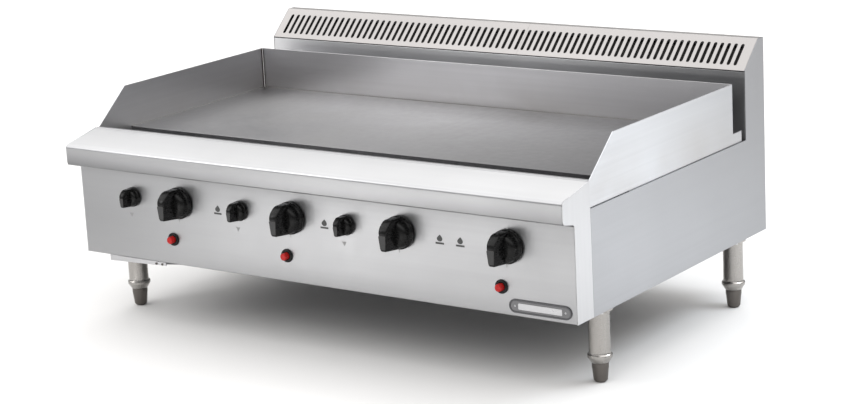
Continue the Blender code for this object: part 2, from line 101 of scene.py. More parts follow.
def camera():
    data = bpy.data.cameras.new("camera")
    data.sensor_width = SENSOR
    data.lens = LENS
    made = bpy.data.objects.new("camera", data)
    bpy.context.scene.collection.objects.link(made)
    azimuth, elevation, roll = map(math.radians, (CAMERA_AZIMUTH, CAMERA_ELEVATION, CAMERA_ROLL))
    ahead = Vector((-math.sin(azimuth), math.cos(azimuth), 0)) * math.cos(elevation)
    ahead.z = -math.sin(elevation)
    right = Vector((math.cos(azimuth), math.sin(azimuth), 0))
    up = right.cross(ahead)
    across = math.cos(roll) * right + math.sin(roll) * up
    upright = -math.sin(roll) * right + math.cos(roll) * up
    turn = Matrix((across, upright, -ahead)).transposed().to_4x4()
    made.matrix_world = Matrix.Translation(CAMERA_PLACE) @ turn
    bpy.context.scene.camera = made


def sky():
    """A studio dome: dim near the horizon and bright overhead, like one wide softbox."""
    world = bpy.data.worlds.new("studio")
    bpy.context.scene.world = world
    world.use_nodes = True
    tree = world.node_tree
    background = tree.nodes["Background"]
    coords = tree.nodes.new("ShaderNodeTexCoord")
    split = tree.nodes.new("ShaderNodeSeparateXYZ")
    ramp = tree.nodes.new("ShaderNodeValToRGB")
    stops = [
        (0.0, (0.12, 0.12, 0.125)),
        (0.15, (0.22, 0.22, 0.225)),
        (0.30, (0.46, 0.46, 0.465)),
        (0.42, (1.35, 1.35, 1.35)),
        (0.54, (2.30, 2.28, 2.25)),
        (1.0, (2.0, 2.0, 2.01)),
    ]
    while len(ramp.color_ramp.elements) < len(stops):
        ramp.color_ramp.elements.new(0.5)
    for element, (place, colour) in zip(ramp.color_ramp.elements, stops):
        element.position = place
        element.color = (*colour, 1)
    tree.links.new(coords.outputs["Generated"], split.inputs["Vector"])
    tree.links.new(split.outputs["Z"], ramp.inputs["Fac"])
    tree.links.new(ramp.outputs["Color"], background.inputs["Color"])
    background.inputs["Strength"].default_value = 1.0


def softbox(name, place, target, size, power, colour=(1, 1, 1)):
    data = bpy.data.lights.new(name, "AREA")
    data.shape = "RECTANGLE"
    data.size, data.size_y = size
    data.energy = power
    data.color = colour
    made = bpy.data.objects.new(name, data)
    bpy.context.scene.collection.objects.link(made)
    made.visible_camera = False
    made.location = place
    made.rotation_euler = (Vector(target) - Vector(place)).to_track_quat("-Z", "Y").to_euler()


def pool(place, reach, power):
    """A spot high overhead that lights only a round patch of floor."""
    data = bpy.data.lights.new("pool", "SPOT")
    data.energy = power
    data.spot_blend = 1.0
    data.shadow_soft_size = 0.1
    data.spot_size = 2 * math.atan(reach / POOL_HEIGHT)
    made = bpy.data.objects.new("pool", data)
    bpy.context.scene.collection.objects.link(made)
    made.visible_camera = False
    made.location = (*place, POOL_HEIGHT)


def card(low, high, colour):
    """A grey card on the floor outside the picture that only shows in the front panel's reflection."""
    bm = bmesh.new()
    corners = [(low[0], low[1]), (high[0], low[1]), (high[0], high[1]), (low[0], high[1])]
    bm.faces.new([bm.verts.new((x, y, 0.001)) for x, y in corners])
    made = object_of("card", bm)
    look = Look("card", colour, 0.9)
    made.data.materials.append(look.material)
    for rays in ("camera", "diffuse", "shadow"):
        setattr(made, f"visible_{rays}", False)


def floor():
    bm = bmesh.new()
    bmesh.ops.create_grid(bm, x_segments=1, y_segments=1, size=30)
    made = object_of("floor", bm)
    look = Look("floor", (0.69, 0.685, 0.68), 0.9)
    look.set("Specular IOR Level", 0.1)
    made.data.materials.append(look.material)


def studio():
    bpy.context.scene.view_settings.view_transform = "Standard"
    camera()
    sky()
    floor()
    for place, reach, power in POOLS:
        pool(place, reach, power)
    card(low=(-2.4, -1.35), high=(-0.85, -0.75), colour=(0.42, 0.42, 0.42))
    softbox(
        "side_pool", place=(1.4, 0.65, 1.2), target=(1.4, 0.65, 0), size=(0.6, 0.6), power=10.5,
        colour=(0.84, 0.92, 1.0),
    )
    softbox("guard_box", place=(-1.9, -2.2, 1.4), target=(0, 0.25, 0.4), size=(0.5, 1.2), power=10)


# ---------------------------------------------------------------- materials


class Look:
    """A Principled material, with the few node patterns that the finishes share."""

    def __init__(self, name, colour, roughness, metallic=0.0):
        self.material = bpy.data.materials.new(name)
        self.material.use_nodes = True
        self.tree = self.material.node_tree
        self.shader = self.tree.nodes["Principled BSDF"]
        self.colour = colour
        self.set("Base Color", (*colour, 1))
        self.set("Roughness", roughness)
        self.set("Metallic", metallic)
        self.coords = self.tree.nodes.new("ShaderNodeTexCoord").outputs["Object"]

    def set(self, socket, value):
        self.shader.inputs[socket].default_value = value

    def node(self, kind, links, **settings):
        made = self.tree.nodes.new(kind)
        for key, value in settings.items():
            setattr(made, key, value)
        for socket, source in links.items():
            self.tree.links.new(source, made.inputs[socket])
        return made

    def noise(self, stretch, detail, distortion=0.0):
        """Noise with `stretch` features per metre along X, Y and Z."""
        mapping = self.node("ShaderNodeMapping", {"Vector": self.coords})
        mapping.inputs["Scale"].default_value = stretch
        made = self.node("ShaderNodeTexNoise", {"Vector": mapping.outputs["Vector"]})
        made.inputs["Scale"].default_value = 1.0
        made.inputs["Detail"].default_value = detail
        made.inputs["Distortion"].default_value = distortion
        return made.outputs["Fac"]

    def place(self, axis):
        """How far along X, Y or Z the surface is, in metres."""
        return self.node("ShaderNodeSeparateXYZ", {"Vector": self.coords}).outputs[axis]

    def spread(self, source, low, high, start=0.3, end=0.7):
        """A value between low and high that follows the source's range from start to end."""
        made = self.node("ShaderNodeMapRange", {"Value": source})
        for socket, value in (("From Min", start), ("From Max", end), ("To Min", low), ("To Max", high)):
            made.inputs[socket].default_value = value
        return made.outputs["Result"]

    def add(self, first, second):
        made = self.node("ShaderNodeMath", {0: first, 1: second}, operation="ADD")
        return made.outputs["Value"]

    def blend(self, factor, first, second):
        """A colour between two; each is an RGB triple or another node's colour."""
        made = self.node("ShaderNodeMix", {"Factor": factor}, data_type="RGBA")
        sockets = [socket for socket in made.inputs if socket.type == "RGBA"]
        for socket, colour in zip(sockets, (first, second)):
            if isinstance(colour, tuple):
                socket.default_value = (*colour, 1)
            else:
                self.tree.links.new(colour, socket)
        return next(socket for socket in made.outputs if socket.type == "RGBA")

    def painted_shade_along(self, tone, shaded):
        """The tone with painted shade that darkens it along (axis, start, end, factor); as it is when that is
        None.
        """
        if not shaded:
            return tone
        axis, start, end, factor = shaded
        far = self.spread(self.place(axis), 0, 1, start, end)
        return self.blend(far, tone, shade(self.colour, factor))

    def paint(self, source):
        self.tree.links.new(source, self.shader.inputs["Base Color"])

    def polish(self, source):
        self.tree.links.new(source, self.shader.inputs["Roughness"])

    def relief(self, *layers):
        """Bumps in layers, each (height, strength, depth in metres)."""
        normal = None
        for height, strength, depth in layers:
            links = {"Height": height}
            if normal is not None:
                links["Normal"] = normal
            made = self.node("ShaderNodeBump", links)
            made.inputs["Strength"].default_value = strength
            made.inputs["Distance"].default_value = depth
            normal = made.outputs["Normal"]
        self.tree.links.new(normal, self.shader.inputs["Normal"])


def shade(colour, factor):
    return tuple(min(1.0, channel * factor) for channel in colour)


def brushed(name, colour, roughness, grain, shaded=None):
    """Brushed sheet: fine lines along one axis, slow changes of tone, smudges and a slightly wavy face."""
    look = Look(name, colour, roughness, 1.0)
    dark, light = shade(colour, 0.95), shade(colour, 1.05)

    def along(across, length):
        return tuple(length if axis == grain else across for axis in "XYZ")

    fine = look.noise(along(1200, 9), 2)
    streaks = look.noise(along(110, 1.6), 3)
    slow = look.noise((2.1, 2.1, 2.1), 2)
    smudge = look.noise((14, 14, 14), 5, 0.6)
    tone = look.blend(look.spread(slow, 0, 1, 0.35, 0.65), dark, light)
    tone = look.blend(look.spread(streaks, 0, 0.3), tone, dark)
    # Painted shade: where an axis is given, the tone darkens along it.
    look.paint(look.painted_shade_along(tone, shaded))
    worn = look.spread(streaks, roughness - 0.01, roughness + 0.015)
    look.polish(look.add(worn, look.spread(smudge, -0.01, 0.02)))
    wavy = look.noise((3.0, 3.0, 3.0), 1)
    look.relief((wavy, 0.25, 0.004), (streaks, 0.04, 0.0003), (fine, 0.16, 0.00012))
    return look.material


def ground_plate():
    """The cooking plate: ground steel with fine lines, faint scraper marks and painted shade that darkens its
    right end.
    """
    colour = (0.252, 0.25, 0.257)
    look = Look("ground_plate_steel", colour, 0.36, 1.0)
    lines = look.noise((7, 900, 900), 2)
    scrape = look.noise((160, 1.3, 1), 4)
    patches = look.noise((3.2, 4.5, 1), 4, 0.8)
    spots = look.noise((55, 55, 55), 3)
    tone = look.blend(look.spread(patches, 0, 1, 0.38, 0.68), colour, (0.23, 0.227, 0.229))
    tone = look.blend(look.spread(scrape, 0, 0.35, 0.5, 0.75), tone, (0.29, 0.288, 0.292))
    # Painted shade: the plate grows much darker towards its right end.
    painted_shade_right_end = look.spread(look.place("X"), 0, 0.95, 0.0, 0.56)
    tone = look.blend(painted_shade_right_end, tone, (0.095, 0.094, 0.098))
    look.paint(tone)
    worn = look.spread(patches, 0.33, 0.43, 0.35, 0.7)
    look.polish(look.add(worn, look.spread(spots, -0.02, 0.03)))
    look.relief((patches, 0.15, 0.001), (scrape, 0.12, 0.0002), (lines, 0.2, 0.0001))
    return look.material


def heated_sheet(name, colour, shaded=None):
    """Guard sheet: brushed lengthways, browned a little low down next to the hot plate."""
    look = Look(name, colour, 0.3, 1.0)
    fine = look.noise((9, 9, 1200), 2)
    streaks = look.noise((1.5, 1.5, 110), 3)
    patches = look.noise((3.5, 3.5, 3.5), 4, 0.7)
    plate_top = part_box("griddle_plate")[1].z
    near = look.spread(look.place("Z"), 1, 0, plate_top, plate_top + 0.075)
    product = look.node(
        "ShaderNodeMath", {0: near, 1: look.spread(patches, 0.1, 1)}, operation="MULTIPLY"
    )
    blotch = product.outputs["Value"]
    tone = look.blend(look.spread(streaks, 0, 0.5), colour, shade(colour, 0.9))
    # Painted shade: where an axis is given, the tone darkens along it.
    tone = look.painted_shade_along(tone, shaded)
    look.paint(look.blend(look.spread(blotch, 0, 0.35, 0, 1), tone, (0.40, 0.365, 0.33)))
    look.polish(look.add(look.spread(streaks, 0.27, 0.34), look.spread(blotch, 0, 0.1, 0, 1)))
    look.relief((patches, 0.12, 0.001), (streaks, 0.1, 0.0004), (fine, 0.16, 0.00012))
    return look.material


def turned_metal(name, colour, roughness):
    """Satin metal turned on a lathe: fine rings square to its upright axis, and a few smudges."""
    look = Look(name, colour, roughness, 1.0)
    rings = look.noise((2, 2, 1500), 2)
    smudge = look.noise((25, 25, 12), 4, 0.5)
    look.paint(look.blend(look.spread(smudge, 0, 1), shade(colour, 0.9), shade(colour, 1.06)))
    worn = look.spread(smudge, roughness - 0.05, roughness + 0.07)
    look.polish(look.add(worn, look.spread(rings, -0.03, 0.03)))
    look.relief((rings, 0.2, 0.0001))
    return look.material


def moulded(name, colour, roughness, grain=0.12):
    """Moulded plastic or a black coating: a fine orange-peel skin, dust and hairline rub marks."""
    look = Look(name, colour, roughness)
    look.set("Specular IOR Level", 0.19)
    skin = look.noise((900, 900, 900), 2)
    rub = look.noise((40, 260, 60), 4, 0.4)
    dust = look.noise((120, 120, 120), 5)
    dusty = tuple(channel + 0.012 for channel in colour)
    look.paint(look.blend(look.spread(dust, 0, 0.35, 0.5, 0.8), colour, dusty))
    worn = look.spread(rub, roughness - 0.04, roughness + 0.09, 0.35, 0.75)
    look.polish(look.add(worn, look.spread(dust, 0, 0.05)))
    look.relief((skin, grain, 0.00005))
    return look.material


def mill_finish(name, colour, roughness, spangle=60):
    """Plain coated sheet: soft crystalline spangle and dull patches."""
    look = Look(name, colour, roughness, 1.0)
    cells = look.node("ShaderNodeTexVoronoi", {"Vector": look.coords})
    cells.inputs["Scale"].default_value = spangle
    grey = look.node("ShaderNodeSeparateColor", {"Color": cells.outputs["Color"]}).outputs["Red"]
    dull = look.noise((5, 5, 5), 4, 0.5)
    tone = look.blend(look.spread(grey, 0, 1, 0, 1), shade(colour, 0.92), shade(colour, 1.08))
    tone = look.blend(look.spread(dull, 0, 0.5), tone, shade(colour, 0.82))
    look.paint(tone)
    grain = look.spread(grey, roughness - 0.05, roughness + 0.05, 0, 1)
    look.polish(look.add(grain, look.spread(dull, -0.02, 0.06)))
    look.relief((dull, 0.15, 0.001), (grey, 0.05, 0.0001))
    return look.material


def printed_ink(name, grey):
    """Screen-printed ink, a little worn and uneven."""
    look = Look(name, (grey, grey, grey), 0.5)
    worn = look.noise((700, 700, 700), 3)
    look.paint(look.blend(look.spread(worn, 0, 1, 0.45, 0.75), (grey, grey, grey), (grey + 0.05,) * 3))
    look.polish(look.spread(worn, 0.42, 0.6))
    look.relief((worn, 0.2, 0.00005))
    return look.material


LOOKS = {}


def make_looks():
    # The casing steel. The panel and side looks are darker copies of it and the console and riser looks
    # lighter ones: painted shade and painted light.
    shell = (0.41, 0.412, 0.42)
    side = (0.37, 0.376, 0.392)
    lip_foot = BODY_FLOOR + LIP_BOTTOM * MM
    lip_head = BODY_FLOOR + (LIP_TOP - 4) * MM
    LOOKS.update(
        # Painted shade: the side panels darken towards the back.
        side=brushed("stainless_brushed_back", side, 0.30, "Y", shaded=("Y", -0.1, 0.4, 0.8)),
        panel=brushed("panel_stainless", shade(shell, 0.88), 0.34, "X"),
        # Painted shade: the rail's front lip darkens from its top bend down to its foot.
        rail=brushed("rail_stainless", shell, 0.30, "X", shaded=("Z", lip_head, lip_foot, 0.56)),
        vent=brushed("vent_stainless", (0.37, 0.356, 0.35), 0.34, "X"),
        # Painted shade: the riser darkens towards its right end.
        riser=brushed("riser_stainless", shade(shell, 1.6), 0.38, "X", shaded=("X", 0.1, 0.58, 0.45)),
        console=brushed("console_stainless", shade(shell, 1.3), 0.32, "Z"),
        underside=mill_finish("underside_sheet", (0.26, 0.26, 0.265), 0.5),
        weld=turned_metal("weld_bead", (0.21, 0.205, 0.20), 0.5),
        seam=turned_metal("corner_seam", (0.085, 0.07, 0.065), 0.6),
        # Soot and painted shade: near-black for the flue duct and the strips under the louvres.
        soot=moulded("sooted_steel", (0.02, 0.019, 0.018), 0.7, 0.3),
        # Painted light and shade: the three guards are lighter and darker copies of one sheet, and the right
        # one darkens towards the back.
        guard_left=heated_sheet("guard_stainless", (0.56, 0.56, 0.57)),
        guard_rear=heated_sheet("rear_guard_stainless", (0.63, 0.625, 0.64)),
        guard_right=heated_sheet("right_guard_stainless", (0.6, 0.615, 0.64), ("Y", -0.1, 0.24, 0.74)),
        drip=brushed("drip_stainless", (0.52, 0.52, 0.53), 0.34, "X"),
        plate=ground_plate(),
        galvanised=mill_finish("galvanised_sheet", (0.50, 0.51, 0.52), 0.42),
        aluminised=mill_finish("aluminised_steel", (0.46, 0.46, 0.45), 0.5, 140),
        leg=turned_metal("leg_steel", (0.375, 0.36, 0.342), 0.26),
        foot=turned_metal("foot_steel", (0.15, 0.138, 0.128), 0.42),
        screw=turned_metal("screw_steel", (0.55, 0.55, 0.56), 0.28),
        dark_screw=turned_metal("dark_screw_steel", (0.26, 0.26, 0.27), 0.35),
        brass=turned_metal("brass", (0.74, 0.55, 0.25), 0.32),
        badge=brushed("badge_metal", (0.45, 0.45, 0.46), 0.28, "X"),
        badge_dark=brushed("badge_dark_metal", (0.17, 0.17, 0.175), 0.4, "X"),
        badge_rim=turned_metal("badge_rim", (0.10, 0.10, 0.105), 0.38),
        pipe=moulded("black_pipe", (0.03, 0.03, 0.03), 0.5, 0.4),
        knob=moulded("knob_plastic", (0.004, 0.004, 0.004), 0.24),
        # Painted sheen: the lighter front face of each grip.
        grip=moulded("grip_face_painted_sheen", (0.04, 0.04, 0.04), 0.36),
        bezel=moulded("bezel_plastic", (0.006, 0.006, 0.006), 0.26),
        button=moulded("red_plastic", (0.38, 0.012, 0.011), 0.25),
        ink=printed_ink("printed_ink", 0.03),
        pale_ink=printed_ink("printed_ink_pale", 0.24),
    )


# ---------------------------------------------------------------- shapes


def on_panel(node):
    """The middle of a node's box, brought onto the control panel's face."""
    low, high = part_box(node)
    return Vector(((low.x + high.x) / 2, FRONT, (low.z + high.z) / 2))


def object_of(name, bm):
    mesh = bpy.data.meshes.new(name)
    bm.to_mesh(mesh)
    bm.free()
    made = bpy.data.objects.new(name, mesh)
    bpy.context.scene.collection.objects.link(made)
    return made


def lathe(profile, segments=48):
    """A profile of (radius, height) points, from axis to axis or closed on itself, spun round Z."""
    bm = bmesh.new()
    verts = [bm.verts.new((radius * MM, 0, height * MM)) for radius, height in profile]
    edges = [bm.edges.new(pair) for pair in zip(verts, verts[1:])]
    if min(profile[0][0], profile[-1][0]) > 0:
        edges.append(bm.edges.new((verts[-1], verts[0])))
    bmesh.ops.spin(
        bm, geom=verts + edges, axis=(0, 0, 1), angle=2 * math.pi, steps=segments, use_merge=True
    )
    bmesh.ops.remove_doubles(bm, verts=bm.verts, dist=1e-6)
    bmesh.ops.recalc_face_normals(bm, faces=bm.faces)
    return bm


def slab(outline, low, high):
    """A flat outline of (x, y) points in millimetres, given a thickness along Z."""
    bm = bmesh.new()
    face = bm.faces.new([bm.verts.new((x * MM, y * MM, low * MM)) for x, y in outline])
    grown = bmesh.ops.extrude_face_region(bm, geom=[face])["geom"]
    lifted = [item for item in grown if isinstance(item, bmesh.types.BMVert)]
    bmesh.ops.translate(bm, verts=lifted, vec=(0, 0, (high - low) * MM))
    bmesh.ops.recalc_face_normals(bm, faces=bm.faces)
    return bm


def merged(shapes):
    whole = bmesh.new()
    for shape in shapes:
        mesh = bpy.data.meshes.new("part")
        shape.to_mesh(mesh)
        whole.from_mesh(mesh)
        bpy.data.meshes.remove(mesh)
        shape.free()
    return whole


def moved(bm, place, turn=UPWARDS):
    bm.transform(Matrix.Translation(place) @ turn)
    return bm


def filleted(corners, steps=5):
    """A closed outline whose corners, each (x, y, radius), are turned into arcs."""
    path = []
    count = len(corners)
    for i, (x, y, radius) in enumerate(corners):
        corner = Vector((x, y))
        before = (Vector(corners[i - 1][:2]) - corner).normalized()
        after = (Vector(corners[(i + 1) % count][:2]) - corner).normalized()
        if radius == 0:
            path.append(corner)
            continue
        half = before.angle(after) / 2
        centre = corner + (before + after).normalized() * (radius / math.sin(half))
        first = corner + before * (radius / math.tan(half)) - centre
        last = corner + after * (radius / math.tan(half)) - centre
        turn = first.angle(last)
        for step in range(steps + 1):
            part = step / steps
            mix = first * math.sin((1 - part) * turn) + last * math.sin(part * turn)
            path.append(centre + mix / math.sin(turn))
    return path


def folded(corners, thickness):
    """The outline of a folded sheet. The path is its outer face, and the thickness is on the path's right."""
    path = filleted([(*corners[0][:2], 0), *corners[1:-1], (*corners[-1][:2], 0)])
    inner = []
    for i, point in enumerate(path):
        normals = []
        for a, b in zip(path[max(i - 1, 0) : i + 1], path[max(i, 1) : i + 2]):
            along = (b - a).normalized()
            normals.append(Vector((along.y, -along.x)))
        middle = sum(normals, Vector((0, 0))).normalized()
        inner.append(point + middle * (thickness / middle.dot(normals[0])))
    return path + inner[::-1]


def skinned(rings):
    """A closed tube through rings of points in metres, with a cap at each end."""
    bm = bmesh.new()
    rings = [[bm.verts.new(point) for point in ring] for ring in rings]
    count = len(rings[0])
    for first, second in zip(rings, rings[1:]):
        for k in range(count):
            after = (k + 1) % count
            bm.faces.new((first[k], first[after], second[after], second[k]))
    bm.faces.new(rings[0][::-1])
    bm.faces.new(rings[-1])
    bmesh.ops.recalc_face_normals(bm, faces=bm.faces)
    return bm


def stadium(length, width, steps):
    """A long rounded outline about the origin, its length along X."""
    radius = width / 2
    turns = [math.pi * (step / steps - 0.5) for step in range(steps + 1)]
    end = [(length / 2 - radius + radius * math.cos(t), radius * math.sin(t)) for t in turns]
    return end + [(-x, -y) for x, y in end]


def smooth(obj, degrees=35):
    obj.data.shade_smooth()
    obj.data.set_sharp_from_angle(angle=math.radians(degrees))


def bevelled(obj, width):
    """Breaks the sharp edges with a bevel of `width` millimetres, and gives the modifier."""
    bevel = obj.modifiers.new("edges", "BEVEL")
    bevel.width = width * MM
    bevel.segments = 2
    bevel.limit_method = "ANGLE"
    bevel.angle_limit = math.radians(35)
    return bevel


def soften(obj, width):
    """Smooth shading with rounded edges."""
    obj.data.shade_smooth()
    bevelled(obj, width).harden_normals = True


def block(low, high):
    """A plain cutter between two corners, in metres."""
    width, depth, height = [(b - a) / MM for a, b in zip(low, high)]
    return moved(slab([(0, 0), (width, 0), (width, depth), (0, depth)], 0, height), low)


def rectangle(width, height, y=0):
    """The corners of a rectangle, anticlockwise, with its middle at (0, y)."""
    across, up = width / 2, height / 2
    return [(-across, y - up), (across, y - up), (across, y + up), (-across, y + up)]


def piece(name, bm, look, body="root", replaces=()):
    """A visible piece that rides on a body and takes one of the looks as its finish."""
    made = object_of(name, bm)
    made.data.materials.append(LOOKS[look])
    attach(made, body)
    if replaces:
        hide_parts(*replaces)
    return made


def boolean(target, other, operation):
    """Joins or cuts another object's shape into the target's mesh, and removes the other."""
    modifier = target.modifiers.new(operation, "BOOLEAN")
    modifier.operation = operation
    modifier.solver = "EXACT"
    modifier.object = other
    graph = bpy.context.evaluated_depsgraph_get()
    graph.update()
    mesh = bpy.data.meshes.new_from_object(target.evaluated_get(graph))
    target.modifiers.remove(modifier)
    target.data = mesh
    bpy.data.objects.remove(other, do_unlink=True)


# ---------------------------------------------------------------- CAD nodes that stay


def dress(nodes, look, edge=None):
    """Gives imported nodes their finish, with softly broken sheet edges."""
    for name in nodes:
        obj = NODES[name]
        obj.data.materials.clear()
        obj.data.materials.append(LOOKS[look])
        if not edge:
            continue
        obj.data.shade_flat()
        weld = obj.modifiers.new("weld", "WELD")
        weld.merge_threshold = 1e-5
        flat = obj.modifiers.new("flat faces", "DECIMATE")
        flat.decimate_type = "DISSOLVE"
        flat.angle_limit = math.radians(0.5)
        bevelled(obj, edge)


def dress_casing():
    def starting(*stems):
        return [node for node in NODES if node.startswith(stems)]

    dress(["flue_front_panel"], "riser", 0.5)
    dress(starting("side_panel"), "side", 0.5)
    dress(starting("console_end"), "console", 0.5)
    for side in ("left", "rear", "right"):
        dress([f"splash_guard_{side}"], f"guard_{side}", 0.25)
    dress(["griddle_plate"], "plate", 0.4)
    dress(["grease_trough", "grease_tray"], "drip", 0.5)
    dress(starting("back_panel", "tray_rail"), "galvanised", 0.4)
    dress(["bottom_panel"], "underside", 0.4)
    dress(starting("gas_valve", "pilot_valve", "pilot_burner"), "brass")
    dress(starting("burner_", "air_shutter"), "aluminised")
    dress(["gas_manifold"], "pipe")


# ---------------------------------------------------------------- controls


PILOT_KNOB_SCALE = 0.62
KNOB_STEM, PILOT_STEM = 4.2, 3.2
GRIP_HALF, GRIP_TOP, GRIP_TALL = 10.8, 30, 60
GRIP_LEAN, GRIP_FACE = 1.8, 43
GRIP_TAPER, GRIP_DRAFT = 0.33, 0.10
KNOB_HOLE, PILOT_HOLE, IGNITER_HOLE = 6, 5, 9.5


def knob(node, scale, stem):
    """
    Skirt, domed body, tapered grip with a lighter strip along its front as painted sheen, and the stem.
    All but the stem's radius is drawn at a large knob's size and then scaled.
    """
    low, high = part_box(node)
    spot = Vector((PIVOT[node].x, FRONT, PIVOT[node].z))
    radius = (high.x - low.x) / 2 / MM / scale
    depth = (high.y - FRONT) / MM / scale
    reach = (FRONT - low.y) / MM / scale - 0.4
    stem /= scale
    profile = [
        (0, -depth), (stem, -depth), (stem, 2), (radius - 3, 2), (radius - 0.9, 2.7), (radius, 4.4),
        (radius, 8.0), (radius - 0.5, 9.3), (radius - 1.7, 10.2), (radius - 2.6, 11.2),
        (radius - 3.4, 14.5), (radius - 4.8, 18.8), (radius - 7.0, 22.3), (radius - 10.5, 24.8),
        (radius - 16, 26.2), (radius - 24, 26.9), (0, 27.1),
    ]
    body = lathe([(r * scale, h * scale) for r, h in profile], 64)
    made = piece(f"{node}_moulding", body, "knob", node, [node])
    corners = [(6, 31, 0), (41, 31, 22), (reach, 16.5, 18), (reach - GRIP_LEAN, -25, 4), (9, -30.5, 0)]
    side = filleted(corners)
    half = GRIP_HALF * scale
    top, tall = GRIP_TOP * MM * scale, GRIP_TALL * MM * scale
    grip = slab([(w * scale, v * scale) for w, v in side], -half, half)
    for vert in grip.verts:
        outwards, up, across = vert.co
        taper = 1 - GRIP_TAPER * (top - up) / tall
        draft = 1 - GRIP_DRAFT * outwards / tall
        vert.co = Vector((across * taper * draft, up, outwards))
    bmesh.ops.recalc_face_normals(grip, faces=grip.faces)
    sharp = [edge for edge in grip.edges if edge.calc_face_angle(0) > math.radians(60)]
    bmesh.ops.bevel(
        grip, geom=sharp, offset=3.2 * MM * scale, segments=4, profile=0.5, affect="EDGES"
    )
    boolean(made, object_of("grip", grip), "UNION")
    smooth(made, 40)

    # Painted sheen: a thin lighter strip on the grip's front face.
    corners = [(-8.2, 6, 2.5), (-5.6, -21, 1.2), (5.6, -21, 1.2), (8.2, 6, 2.5)]
    face = [(x * scale, y * scale) for x, y in filleted(corners, 4)]
    sheen_strip = slab(face, -0.6 * scale, 0.35 * scale)
    lean = Matrix.Rotation(math.atan2(GRIP_LEAN, GRIP_FACE), 4, "X")
    lift = Matrix.Translation(Vector((0, 0, (reach - 0.5) * MM * scale)))
    sheen_strip.transform(lift @ lean)
    strip = piece(f"{node}_inlay", sheen_strip, "grip", node)
    soften(strip, 0.25)
    for obj in (made, strip):
        obj.matrix_world = Matrix.Translation(spot) @ OUT_OF_PANEL


def igniter(number):
    """The bezel with its barrel behind the panel, and the button in it."""
    body, button = f"igniter_body_{number}", f"igniter_button_{number}"
    holder = [
        (0, -44), (8.8, -44), (8.8, 0.3), (13.3, 0.3), (13.5, 0.6), (13.5, 1.9), (13.1, 3.0), (12.2, 3.7),
        (11, 4.0), (9.2, 4.0), (8.4, 3.7), (7.7, 2.6), (7.6, 1.0), (7.6, -22), (0, -22),
    ]
    press = [
        (0, -13), (7.2, -13), (7.2, 12.4), (7.0, 13.3), (6.4, 13.9), (5.6, 14.15), (3.4, 14.4), (0, 14.5),
    ]
    holder = piece(f"igniter_bezel_{number}", lathe(holder), "bezel", "root", [body])
    press = piece(f"igniter_press_{number}", lathe(press), "button", button, [button])
    for obj in (holder, press):
        smooth(obj)
        obj.matrix_world = Matrix.Translation(on_panel(button)) @ OUT_OF_PANEL


BADGE_RIM, BADGE_FIELD_INSET = 3.2, 3.4


def badge():
    """A blank pill-shaped badge: a raised rim, a dark field, a pin at each end and a plain bright bar."""
    low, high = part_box("name_badge")
    length, height = (high.x - low.x) / MM, (high.z - low.z) / MM
    rim = object_of("rim", slab(stadium(length, height, 16), 0.3, 2.0))
    inside = stadium(length - 2 * BADGE_RIM, height - 2 * BADGE_RIM, 16)
    field = object_of("field", slab(inside, 1.0, 3))
    boolean(rim, field, "DIFFERENCE")
    rim_mesh = bmesh.new()
    rim_mesh.from_mesh(rim.data)
    bpy.data.objects.remove(rim, do_unlink=True)
    base = piece("badge_rim", rim_mesh, "badge_rim", "root", ["name_badge"])
    soften(base, 0.3)
    inside = stadium(length - 2 * BADGE_FIELD_INSET, height - 2 * BADGE_FIELD_INSET, 16)
    plate = slab(inside, 1.0, 1.3)
    bar = slab(filleted([(x, y, 2) for x, y in rectangle(94, 12)], 4), 1.2, 1.95)
    bar = piece("badge_bar", bar, "badge")
    soften(bar, 0.3)
    pins = [
        moved(lathe([(0, 1.2), (2.1, 1.2), (2.1, 1.7), (1.5, 2.1), (0, 2.25)], 20), (x * MM, 0, 0))
        for x in (-length / 2 + height / 2, length / 2 - height / 2)
    ]
    plate = piece("badge_field", plate, "badge_dark")
    pins = piece("badge_pins", merged(pins), "badge")
    smooth(pins)
    for obj in (base, plate, bar, pins):
        obj.matrix_world = Matrix.Translation(on_panel("name_badge")) @ OUT_OF_PANEL


# Marks, in metres: places along the panel, heights above the underside, and shifts left of the knobs
FLAME_X = (-0.233, 0.035, 0.305, 0.351)
FLAME_HEIGHT, FLAME_BAR_DROP = 0.128, 0.0085
POINTER_HEIGHT, POINTER_SHIFT, TICK_SHIFT = 0.0935, 0.008, 0.005
FLAME_SIZE, FLAME_STEPS = 13, 24
INK_DEPTH = 0.12


def flame_outline():
    """A plain flame: a round foot that leans up to one point."""
    points = []
    for step in range(FLAME_STEPS):
        turn = 2 * math.pi * step / FLAME_STEPS
        lift = max(0.0, math.sin(turn)) ** 3
        x = 0.48 * math.cos(turn) * (1 - 0.5 * lift) + 0.08 * lift
        y = 0.40 * math.sin(turn) + 0.22 * lift
        points.append((FLAME_SIZE * x, FLAME_SIZE * y))
    return points


def panel_marks():
    """Printed control marks: flames, pointers under the small knobs and ticks under the large ones."""

    def printed(outline, x, height):
        return moved(slab(outline, 0, INK_DEPTH), (x, height, 0))

    flames = []
    for x in FLAME_X:
        flames.append(printed(flame_outline(), x, FLAME_HEIGHT))
        flames.append(printed(rectangle(19, 3.6), x, FLAME_HEIGHT - FLAME_BAR_DROP))
    pointers = []
    for number in range(1, 4):
        x = PIVOT[f"pilot_knob_{number}"].x - POINTER_SHIFT
        pointers.append(printed([(5.5, 3.5), (0, -5.5), (-5.5, 3.5)], x, POINTER_HEIGHT))
    for number in range(1, 5):
        x = PIVOT[f"control_knob_{number}"].x - TICK_SHIFT
        pointers.append(printed(rectangle(1.8, 6), x, POINTER_HEIGHT))
    flames = piece("flame_marks", merged(flames), "ink")
    pointers = piece("pointer_marks", merged(pointers), "pale_ink")
    for obj in (flames, pointers):
        obj.matrix_world = Matrix.Translation((0, FRONT - 0.0001, BODY_FLOOR)) @ OUT_OF_PANEL


